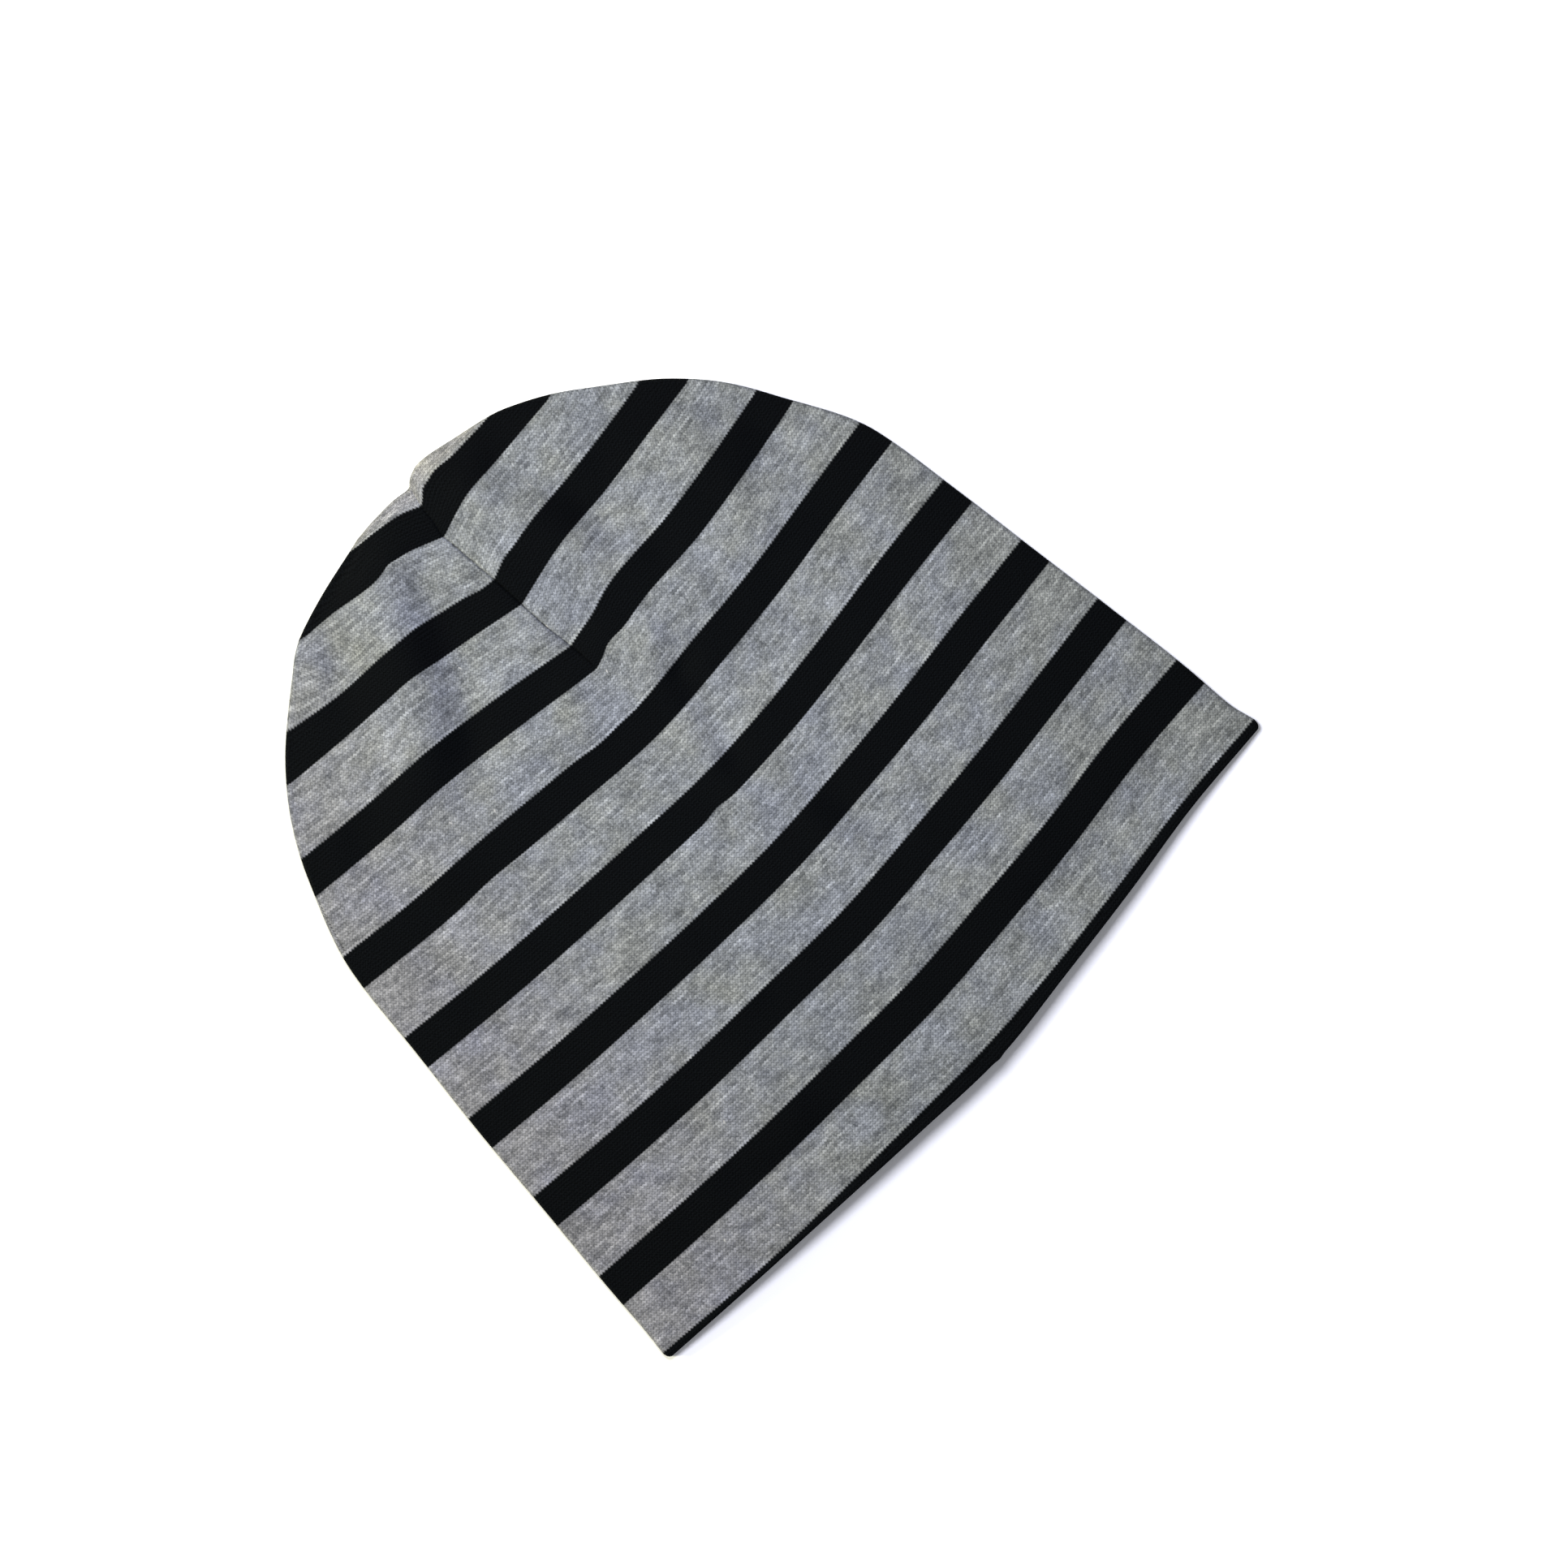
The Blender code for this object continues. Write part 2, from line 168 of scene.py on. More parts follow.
# Folds of the front: height, half width and the crest's line, all in millimetres across and
# along the hat. Negative heights are valleys.
FOLDS = (
    (4.6, 12.0, ((-16, 216), (-22, 204), (-32, 187), (-42, 174), (-51, 165))),
    (-2.4, 8.0, ((-10, 206), (-18, 190), (-26, 175), (-36, 162))),
    (-1.6, 6.5, ((-78, 166), (-80, 152), (-74, 136))),
    (2.2, 7.0, ((-29, 150), (-20, 146), (-12, 143))),
    (1.3, 7.0, ((-66, 153), (-70, 140))),
    (-1.8, 5.0, ((22, 132), (19, 117), (14, 104))),
    (1.4, 7.0, ((9, 104), (9, 92))),
    (2.8, 7.0, ((17, 213), (20, 200), (24, 188), (28, 178))),
    (-2.2, 6.0, ((31, 213), (35, 202), (38, 190), (38, 178))),
    (-1.2, 6.0, ((-42, 212), (-46, 204), (-52, 196))),
    (1.6, 8.0, ((50, 206), (60, 192), (68, 178), (75, 164))),
    (-1.3, 6.0, ((48, 188), (46, 174), (43, 160))),
    (-1.2, 7.0, ((60, 134), (59, 108))),
    (-1.4, 5.0, ((90, 164), (92, 150))),
    (1.2, 6.0, ((70, 156), (66, 144))),
    (-1.4, 6.0, ((-88, 125), (-86, 110))),
    (-1.2, 5.0, ((-101, 92), (-101, 82))),
    (1.2, 7.0, ((-40, 94), (-20, 90))),
    (1.1, 5.5, ((-35, 78), (-33, 55))),
    (-1.4, 5.5, ((25, 82), (29, 58))),
    (1.0, 5.0, ((17, 76), (16, 66))),
    (0.9, 6.0, ((-50, 42), (-48, 22))),
    (0.9, 7.0, ((56, 50), (60, 28))),
    (-0.8, 6.0, ((-72, 40), (-70, 28))),
    (-1.0, 5.0, ((-72, 18), (-58, 12), (-40, 10))),
    (-1.4, 6.0, ((46, 10), (70, 9), (96, 12))),
)
# Dents and bumps: place across and along, radii across and along, and height, in millimetres
DENTS = (
    (8.0, 162.0, 6.5, 5.0, -2.0),
    (-4.5, 150.0, 6.0, 6.0, 1.4),
    (24.0, 146.0, 4.5, 4.0, 1.8),
    (24.0, 134.0, 5.0, 4.0, -1.6),
    (-33.0, 204.0, 5.0, 5.0, 0.8),
    (-48.0, 203.0, 5.0, 4.2, -1.0),
    (-21.0, 91.5, 5.0, 4.0, -1.0),
    (77.0, 178.0, 8.0, 5.0, 1.0),
    (-72.0, 38.0, 4.0, 5.0, -0.8),
)
# Low waves: length and height in millimetres and place in the noise
SOFT_WAVES = ((24.0, 0.60, 7.0), (11.0, 0.16, 31.0))
WAVE_STRETCH = 1.7   # along the hat

# The grid: columns and rows of each wall, steps of its rolled edge, rows beyond the hem's colour
# line, lines on which the stripes are read, and how much closer the columns lie by the dart
FRONT_COLUMNS, FRONT_ROWS, ROLL_STEPS = 212, 184, 8
BACK_COLUMNS, BACK_ROWS = 106, 92
END_ROWS = 2
READING_LINES = 501
DART_CLOSENESS, DART_CLOSE_WIDTH = 2.6, 0.03
TOP_ROLL_START, TOP_ROLL_WHOLE = 5.2, 8.2   # stripe periods where the top's roll sets in


def clamp_fade(value, start, end):
    """0 at start, 1 at end, smooth between them; works on arrays."""
    share = np.clip((np.asarray(value, float) - start) / (end - start), 0.0, 1.0)
    return share * share * (3.0 - 2.0 * share)


def steady_slopes(knots, values):
    """Slopes at knots that never carry a curve past the next knot's value."""
    rises = np.diff(values) / np.diff(knots)
    before, after = rises[:-1], rises[1:]
    same_way = before * after > 0
    total = np.where(same_way, before + after, 1.0)
    inner = np.where(same_way, 2.0 * before * after / total, 0.0)
    return np.concatenate((rises[:1], inner, rises[-1:]))


def smooth_curve(knots, values, places, steady=False):
    """A smooth curve through unevenly spaced knots, read at places."""
    knots, values = np.asarray(knots, float), np.asarray(values, float)
    places = np.asarray(places, float)
    slopes = steady_slopes(knots, values) if steady else np.gradient(values, knots)
    index = np.clip(np.searchsorted(knots, places) - 1, 0, len(knots) - 2)
    width = knots[index + 1] - knots[index]
    share = (places - knots[index]) / width
    square, cube = share ** 2, share ** 3
    return (values[index] * (2 * cube - 3 * square + 1)
            + slopes[index] * width * (cube - 2 * square + share)
            + values[index + 1] * (3 * square - 2 * cube)
            + slopes[index + 1] * width * (cube - square))


def across_line(along, across, corner):
    """One stripe's line at the places across, broken at the dart by corner, 0 to 1."""
    middle = len(STATIONS) // 2
    smooth = smooth_curve(STATIONS, along, across)
    left = smooth_curve(STATIONS[:middle + 1], along[:middle + 1], np.minimum(across, 0.0))
    right = smooth_curve(STATIONS[middle:], along[middle:], np.maximum(across, 0.0))
    broken = np.where(across < 0, left, right)
    return smooth + (broken - smooth) * corner


def column_places(count):
    """Places across the wall, closer together beside the dart."""
    fine = np.linspace(-1.0, 1.0, 2001)
    density = 1.0 + DART_CLOSENESS * np.exp(-(fine / DART_CLOSE_WIDTH) ** 2)
    total = np.concatenate(([0.0], np.cumsum((density[1:] + density[:-1]) / 2)))
    at_dart = total[len(fine) // 2]
    half = np.interp(np.linspace(at_dart, total[-1], count // 2 + 1), total, fine)
    return np.concatenate((-half[:0:-1], half))


class Wall:
    """Plan of one wall: places, stripe periods and the outline that its edge rolls to."""

    def __init__(self, columns, rows):
        self.across = column_places(columns)
        self.dart_column = columns // 2
        self.lay_stripes(columns, rows)
        self.lay_hem_end()
        self.creep()
        self.y += CHORD_Y
        self.outline_x, self.outline_y = self.x.copy(), self.y.copy()
        self.outline_period = self.period.copy()
        self.inset()
        self.reread_stripes()

    def lay_stripes(self, columns, rows):
        """Rows from the hem's colour line to the crown's top edge."""
        knots = [line[0] for line in LINES]
        self.periods = np.linspace(knots[0], knots[-1], rows - END_ROWS + 1)
        table = np.array([[*line[1], *line[2:]] for line in LINES]) * MM
        spread = np.array([smooth_curve(knots, table[:, k], self.periods, steady=True)
                           for k in range(table.shape[1])]).T
        corner = clamp_fade(self.periods, CORNER_START, DART_WHOLE)
        self.x = np.empty((rows + 1, columns + 1))
        self.y = np.empty_like(self.x)
        for row, values in enumerate(spread, start=END_ROWS):
            left, middle, right = values[-3:]
            reach = np.where(self.across < 0, middle - left, right - middle)
            self.x[row] = middle + reach * self.across
            self.y[row] = across_line(values[:len(STATIONS)], self.across,
                                      corner[row - END_ROWS])
        periods = np.concatenate(([0.0] * END_ROWS, self.periods))
        self.period = np.repeat(periods[:, None], columns + 1, axis=1)

    def lay_hem_end(self):
        """The hem's fold, and the rows that reach into the black of the hem."""
        colour_line = self.y[END_ROWS].copy()
        self.fold_line = smooth_curve(STATIONS, np.array(HEM_FOLD) * MM, self.across)
        join, half_width, depth = HEM_JOIN
        lump = np.exp(-((self.x[END_ROWS] / MM - join) / half_width) ** 2)
        self.fold_line -= depth * MM * lump
        end = self.fold_line + HEM_PIECE_SHARE * (colour_line - self.fold_line)
        for row in range(END_ROWS):
            share = row / END_ROWS
            self.x[row] = self.x[END_ROWS]
            self.y[row] = end + (colour_line - end) * share
            drop = (colour_line - self.y[row]) / STRIPE_PERIOD
            self.period[row] = self.periods[0] - drop

    def creep(self):
        """Shifts the stripes where the cloth has crept along the hat."""
        inside = 1.0 - self.across[None, :] ** 4
        for x, y, radius_x, radius_y, shift in RIPPLES:
            reach = ((self.x / MM - x) / radius_x) ** 2 + ((self.y / MM - y) / radius_y) ** 2
            self.y += shift * MM * np.exp(-reach) * inside

    def count_wales(self, height):
        """Measures how far the wales lie from the dart over the cloth. Where the dart turns
        the courses, each half keeps its own count, so that wales stay square to them."""
        gaps = np.sqrt(sum(np.diff(field, axis=1) ** 2 for field in (self.x, self.y, height)))
        run = np.concatenate((np.zeros((len(gaps), 1)), np.cumsum(gaps, axis=1)), axis=1)
        middle = self.dart_column
        run -= run[:, middle][:, None]
        turned = clamp_fade(self.period[:, 0], CORNER_START, DART_WHOLE)
        shifts = []
        for anchor in (middle // 2, middle + middle // 2):
            across = np.gradient(np.stack((self.x, self.y)), axis=2)[:, :, anchor]
            across /= np.hypot(*across)
            climb = np.diff(np.stack((self.x[:, anchor], self.y[:, anchor])), axis=1)
            slide = (climb * across[:, 1:]).sum(axis=0)
            drift = (slide - np.diff(run[:, anchor])) * turned[1:]
            shifts.append(np.concatenate(([0.0], np.cumsum(drift))))
        left, right = shifts
        on_left = np.arange(run.shape[1]) < middle
        self.wale = run + np.where(on_left, left[:, None], right[:, None])
        self.jump = np.zeros_like(run)
        self.jump[:, middle] = left - right

    def side_inward(self, column):
        """Unit vectors from one side's outline into the hat."""
        x, y = (np.gradient(field[END_ROWS:, column])
                for field in (self.outline_x, self.outline_y))
        turn = np.hypot(x, y) * (1.0 if column == 0 else -1.0)
        return tuple(np.concatenate((part[:1].repeat(END_ROWS), part))
                     for part in (y / turn, -x / turn))

    def inset(self):
        """Draws the grid in from the outline to leave room for the rolled edge."""
        at_top = clamp_fade(self.period, TOP_ROLL_START, TOP_ROLL_WHOLE)
        at_side = np.abs(self.across)[None, :] ** 3
        for column, half in ((0, self.across < 0), (-1, self.across >= 0)):
            inward_x, inward_y = self.side_inward(column)
            self.x += np.where(half, ROLL * at_side * inward_x[:, None], 0.0)
            self.y += np.where(half, ROLL * at_side * inward_y[:, None], 0.0)
        down = ROLL * at_top * (1.0 - at_side)
        dart_x, dart_y = (field[:, self.dart_column]
                          for field in (self.outline_x, self.outline_y))
        lean = np.gradient(dart_x) / np.gradient(dart_y)
        self.x -= down * lean[:, None]
        self.y -= down

    def reread_stripes(self, height=MEETING_HEIGHT):
        """Gives each place of the drawn-in grid the stripe period that is seen there from
        above, where cloth past the meeting height shows farther from the view's middle."""
        spread = CAMERA_DISTANCE / (CAMERA_DISTANCE + MEETING_HEIGHT - height)
        seen_x = CAMERA_CENTRE[0] + (self.x - CAMERA_CENTRE[0]) * spread
        seen_y = CAMERA_CENTRE[1] + (self.y - CAMERA_CENTRE[1]) * spread
        places = np.linspace(self.outline_x.min(), self.outline_x.max(), READING_LINES)
        line_y, line_period = (
            np.array([np.interp(places, x, values) for x, values in zip(self.outline_x, field)])
            for field in (self.outline_y, self.outline_period))
        known = []
        for number, place in enumerate(places):
            on_row = (self.outline_x[:, 0] <= place) & (place <= self.outline_x[:, -1])
            along, period = line_y[on_row, number], line_period[on_row, number]
            if not on_row[-1]:
                on_left = place < self.outline_x[-1, 0]
                side = (slice(None), 0) if on_left else (slice(None, None, -1), -1)
                rim = [np.interp(place, self.outline_x[side], values[side])
                       for values in (self.outline_y, self.outline_period)]
                along, period = np.append(along, rim[0]), np.append(period, rim[1])
            known.append((along, period))
        share = (seen_x - places[0]) / (places[1] - places[0])
        cell = np.clip(share.astype(int), 0, len(places) - 2)
        share = share - cell
        for number in range(len(places) - 1):
            here = cell == number
            before, after = (np.interp(seen_y[here], *known[k]) for k in (number, number + 1))
            self.period[here] = before + (after - before) * share[here]


def polyline_distance(x, y, points):
    """Distance from each place to a line through a few points."""
    nearest = np.full(x.shape, np.inf)
    for start, end in zip(points, points[1:]):
        along = np.subtract(end, start)
        share = ((x - start[0]) * along[0] + (y - start[1]) * along[1]) / (along @ along)
        share = np.clip(share, 0.0, 1.0)
        distance = np.hypot(x - start[0] - share * along[0], y - start[1] - share * along[1])
        nearest = np.minimum(nearest, distance)
    return nearest


def soft_waves(x, y):
    """Low waves that run mostly along the hat."""
    total = np.zeros(x.shape)
    flat_x, flat_y = x.ravel() / MM, y.ravel() / MM
    for length, height, seed in SOFT_WAVES:
        wave = [noise.noise(Vector((a / length + seed, b / (WAVE_STRETCH * length), seed)))
                for a, b in zip(flat_x, flat_y)]
        total += height * MM * np.array(wave).reshape(x.shape)
    return total


def dart_shape(wall):
    """How deep the dart's seam pulls the cloth in."""
    offset = wall.x - wall.x[:, wall.dart_column][:, None]
    here = clamp_fade(wall.period, DART_START, DART_WHOLE)
    pull = DART_PULL * np.exp(-(offset / DART_PULL_HALF_WIDTH) ** 2)
    line = DART_LINE * np.exp(-(offset / DART_LINE_HALF_WIDTH) ** 2)
    return (pull + line) * here


def fold_heights(wall):
    """Folds, dents and bumps of the front."""
    x, y = wall.x / MM, (wall.y - CHORD_Y) / MM
    shape = np.zeros(x.shape)
    for crest, half_width, points in FOLDS:
        shape += crest * np.exp(-(polyline_distance(x, y, points) / half_width) ** 2)
    for dent_x, dent_y, radius_x, radius_y, rise in DENTS:
        reach = ((x - dent_x) / radius_x) ** 2 + ((y - dent_y) / radius_y) ** 2
        shape += rise * np.exp(-reach)
    return shape * MM


def front_heights(wall):
    """Heights of the front wall's outer face inside its rolled edges."""
    full = smooth_curve(*zip(*SWELL), wall.periods)
    full = np.concatenate(([full[0]] * END_ROWS, full))[:, None]
    low = MOUTH_HEIGHT - EDGE_HEIGHT
    to_top = (wall.period - MOUTH_FADE_START) / (TOP_PERIOD - MOUTH_FADE_START)
    at_mouth = 1.0 - np.clip(to_top, 0.0, 1.0) ** 3
    middle = low * at_mouth + (BODY_HEIGHT - MOUTH_HEIGHT - CREST_ROOM) * full
    height = EDGE_HEIGHT + middle * (1.0 - np.abs(wall.across)[None, :] ** SIDE_FULLNESS)
    inside = clamp_fade(1.0 - np.abs(wall.across), 0.0, FOLD_FADE_SIDE)[None, :]
    inside = inside * clamp_fade(wall.period, *FOLD_FADE_HEM)
    inside = inside * clamp_fade(TOP_PERIOD - wall.period, 0.0, FOLD_FADE_TOP)
    height += (fold_heights(wall) + soft_waves(wall.x, wall.y)) * inside
    kept = 1.0 - DART_TOP_LOSS * clamp_fade(wall.period, DART_TOP_START, TOP_PERIOD)
    return height - dart_shape(wall) * kept


def back_heights(wall):
    """The back wall lies flat but for its dart."""
    return BACK_DART_SHARE * dart_shape(wall)


def rolled_edge(wall, height, fields, seam_column):
    """Fills the roll's part of the fields, beyond each end of the rows and the last row."""
    steps = ROLL_STEPS
    rows, columns = wall.x.shape
    row_x, row_y = np.gradient(wall.x, axis=1), np.gradient(wall.y, axis=1)
    length = np.hypot(row_x, row_y)
    row_x, row_y = row_x / length, row_y / length
    sewn = clamp_fade(wall.period[:, 0], SIDE_SEAM_START, SIDE_SEAM_WHOLE)
    sewn *= 1.0 - clamp_fade(wall.period[:, 0], SIDE_SEAM_FADE, SIDE_SEAM_END)
    seam_rise = clamp_fade(wall.period[:, 0], SIDE_SEAM_START, SIDE_SEAM_FADE)
    edge = [(row, 0, 0, -1) for row in range(rows)]
    edge += [(row, columns - 1, 0, 1) for row in range(rows)]
    edge += [(rows - 1, column, 1, 0) for column in range(columns)]
    for row, column, row_step, column_step in edge:
        inner = np.array((wall.x[row, column], wall.y[row, column]))
        outer = np.array((wall.outline_x[row, column], wall.outline_y[row, column]))
        out = outer - inner
        reach = np.hypot(*out)
        along = (out @ (row_x[row, column], row_y[row, column])) / reach
        climb = wall.outline_period[row, column] - wall.period[row, column]
        rise = height[row, column] - MEETING_HEIGHT
        girth = math.pi / 4 * (reach + abs(rise))
        groove = SIDE_SEAM_DEPTH * sewn[row] if column == seam_column else 0.0
        seam_in = SIDE_SEAM_IN_LOW + (SIDE_SEAM_IN_HIGH - SIDE_SEAM_IN_LOW) * seam_rise[row]
        for step in range(1, steps + 1):
            angle = math.pi / 2 * step / steps
            arc = girth * step / steps
            from_seam = (girth - arc - seam_in) / SIDE_SEAM_HALF_WIDTH
            depth = groove * math.exp(-from_seam ** 2)
            share = math.sin(angle) * (1.0 - depth / reach)
            spot = (row + row_step * step, steps + column + column_step * step)
            fields["x"][spot], fields["y"][spot] = inner + out * share
            fields["z"][spot] = (MEETING_HEIGHT + rise * math.cos(angle)
                                 - math.copysign(depth, rise) * math.cos(angle))
            fields["wale"][spot] = wall.wale[row, column] + arc * along
            fields["period"][spot] = wall.period[row, column] + climb * step / steps
            for key in ("dart", "jump"):
                fields[key][spot] = fields[key][row, steps + column]


def rim_distance(fields, from_left):
    """How far each place lies from its row's rim, over the cloth."""
    gaps = np.sqrt(sum(np.diff(fields[key], axis=1) ** 2 for key in "xyz"))
    zero = np.zeros((len(gaps), 1))
    if from_left:
        return np.hstack((zero, np.cumsum(gaps, axis=1)))
    return np.hstack((np.cumsum(gaps[:, ::-1], axis=1)[:, ::-1], zero))


def write_maps(sheet, spots, fields, dart_column):
    """Gives the cloth its maps of the knit and of the distance from its seams."""
    knit = sheet.loops.layers.uv.new("knit")
    seams = sheet.loops.layers.uv.new("seams")
    for face in sheet.faces:
        left_of_dart = max(spots[vertex][1] for vertex in face.verts) <= dart_column
        for loop in face.loops:
            spot = spots[loop.vert]
            wale = fields["wale"][spot] + left_of_dart * fields["jump"][spot]
            loop[knit].uv = (wale, fields["period"][spot] * STRIPE_PERIOD)
            loop[seams].uv = (fields["dart"][spot], fields["rim"][spot])


def cloth_mesh(name, wall, height, facing_up):
    """One wall's outer face as a mesh, from a grid whose places are then moved."""
    wall.count_wales(height)
    rows, columns = wall.x.shape
    steps = ROLL_STEPS
    size = (rows + steps, columns + 2 * steps)
    fields = {}
    dart = wall.x - wall.x[:, wall.dart_column][:, None]
    for key, inside in (("x", wall.x), ("y", wall.y), ("z", height), ("dart", dart),
                        ("wale", wall.wale), ("jump", wall.jump), ("period", wall.period)):
        fields[key] = np.zeros(size)
        fields[key][:rows, steps:steps + columns] = inside
    rolled_edge(wall, height, fields, 0 if facing_up else columns - 1)
    fields["rim"] = rim_distance(fields, facing_up)
    sheet = bmesh.new()
    bmesh.ops.create_grid(sheet, x_segments=size[1] - 1, y_segments=size[0] - 1, size=1.0)
    spots = {}
    for vertex in sheet.verts:
        column = round((vertex.co.x + 1.0) / 2.0 * (size[1] - 1))
        row = round((vertex.co.y + 1.0) / 2.0 * (size[0] - 1))
        spots[vertex] = (row, column)
    for vertex, spot in spots.items():
        vertex.co = (fields["x"][spot], fields["y"][spot], fields["z"][spot])
    write_maps(sheet, spots, fields, steps + wall.dart_column)
    empty = [face for face in sheet.faces
             if all(spots[vertex][0] >= rows - 1 for vertex in face.verts)
             and (all(spots[vertex][1] <= steps for vertex in face.verts)
                  or all(spots[vertex][1] >= steps + columns - 1 for vertex in face.verts))]
    bmesh.ops.delete(sheet, geom=empty, context="FACES")
    bmesh.ops.remove_doubles(sheet, verts=sheet.verts[:], dist=MERGE_DISTANCE)
    if not facing_up:
        bmesh.ops.reverse_faces(sheet, faces=sheet.faces[:])
    mesh = bpy.data.meshes.new(name)
    sheet.to_mesh(mesh)
    sheet.free()
    mesh.shade_smooth()
    return mesh


def add_piece(name, mesh, material):
    """Places a mesh in the scene as a piece of the hat."""
    piece = bpy.data.objects.new(name, mesh)
    bpy.context.scene.collection.objects.link(piece)
    mesh.materials.append(material)
    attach(piece, "root")
    return piece


def thicken(piece):
    """Gives a sheet the cloth's thickness, inwards, and keeps its cut edges crisp. The shape
    is made final, so that it holds no live modifier."""
    wall = piece.modifiers.new("cloth thickness", "SOLIDIFY")
    wall.thickness = CLOTH
    wall.offset = -1.0
    shape = piece.evaluated_get(bpy.context.evaluated_depsgraph_get())
    mesh = bpy.data.meshes.new_from_object(shape)
    piece.modifiers.clear()
    piece.data = mesh
    mesh.set_sharp_from_angle(angle=CLOTH_CUT_ANGLE)


def mouth_path(front, front_height, back):
    """Round the mouth at the walls' ends: plan, height and the fold line's place."""
    path = []
    for column in range(front.x.shape[1]):
        path.append((front.x[0, column], front.y[0, column], front_height[0, column],
                     front.fold_line[column] + CHORD_Y))
    for column, first, last in ((-1, EDGE_HEIGHT, 0.0), (0, 0.0, EDGE_HEIGHT)):
        inner = np.array((front.x[0, column], front.y[0, column]))
        outer = np.array((front.outline_x[0, column], front.outline_y[0, column]))
        fold = front.fold_line[column] + CHORD_Y
        for step in range(1, 2 * ROLL_STEPS):
            angle = math.pi / 2 * step / ROLL_STEPS
            share = math.sin(angle)
            top = first if step <= ROLL_STEPS else last
            place = inner + (outer - inner) * share
            height = MEETING_HEIGHT + (top - MEETING_HEIGHT) * abs(math.cos(angle))
            rounding = HEM_CORNER_RADIUS * (1.0 - abs(math.cos(angle)))
            path.append((*place, height, fold + rounding))
        if column == -1:
            for back_column in reversed(range(back.x.shape[1])):
                path.append((back.x[0, back_column], back.y[0, back_column], 0.0,
                             back.fold_line[back_column] + CHORD_Y))
    return np.array(path)


def hem_mesh(path):
    """The turned hem: outer face, rounded fold and inner face, swept round the mouth."""
    count = len(path)
    profile = 2 * HEM_PROFILE_FLAT + HEM_PROFILE_ROUND
    ahead, behind = np.roll(path, -1, axis=0), np.roll(path, 1, axis=0)
    tangent = (ahead - behind)[:, [0, 2]]
    tangent /= np.linalg.norm(tangent, axis=1)[:, None]
    inward_x, inward_z = tangent[:, 1], -tangent[:, 0]
    run = np.concatenate(([0.0], np.cumsum(np.linalg.norm(
        np.diff(np.vstack((path, path[:1]))[:, :3], axis=0), axis=1))))
    sheet = bmesh.new()
    bmesh.ops.create_grid(sheet, x_segments=count, y_segments=profile, size=1.0)
    knit = sheet.loops.layers.uv.new("knit")
    coordinates = {}
    for vertex in sheet.verts:
        column = round((vertex.co.x + 1.0) / 2.0 * count)
        lap = round((vertex.co.y + 1.0) / 2.0 * profile)
        step = lap % profile
        x, y, z, fold = path[column % count]
        straight = max(y - fold - CLOTH / 2, HEM_LEAST_FLAT)
        if step < HEM_PROFILE_FLAT:
            depth, inward = straight * step / HEM_PROFILE_FLAT, 0.0
        elif step < HEM_PROFILE_FLAT + HEM_PROFILE_ROUND:
            angle = math.pi * (step - HEM_PROFILE_FLAT) / HEM_PROFILE_ROUND
            depth = straight + CLOTH / 2 * math.sin(angle)
            inward = CLOTH / 2 * (1 - math.cos(angle))
        else:
            back_step = step - HEM_PROFILE_FLAT - HEM_PROFILE_ROUND
            depth, inward = straight * (1 - back_step / HEM_PROFILE_FLAT), CLOTH
        at = column % count
        vertex.co = (x + inward_x[at] * inward, y - depth, z + inward_z[at] * inward)
        coordinates[vertex] = (run[column], -depth if lap < profile else 0.0)
    for face in sheet.faces:
        for loop in face.loops:
            loop[knit].uv = coordinates[loop.vert]
    bmesh.ops.remove_doubles(sheet, verts=sheet.verts[:], dist=MERGE_DISTANCE)
    bmesh.ops.recalc_face_normals(sheet, faces=sheet.faces[:])
    mesh = bpy.data.meshes.new("hem_fold")
    sheet.to_mesh(mesh)
    sheet.free()
    mesh.shade_smooth()
    mesh.set_sharp_from_angle(angle=HEM_CUT_ANGLE)
    return mesh


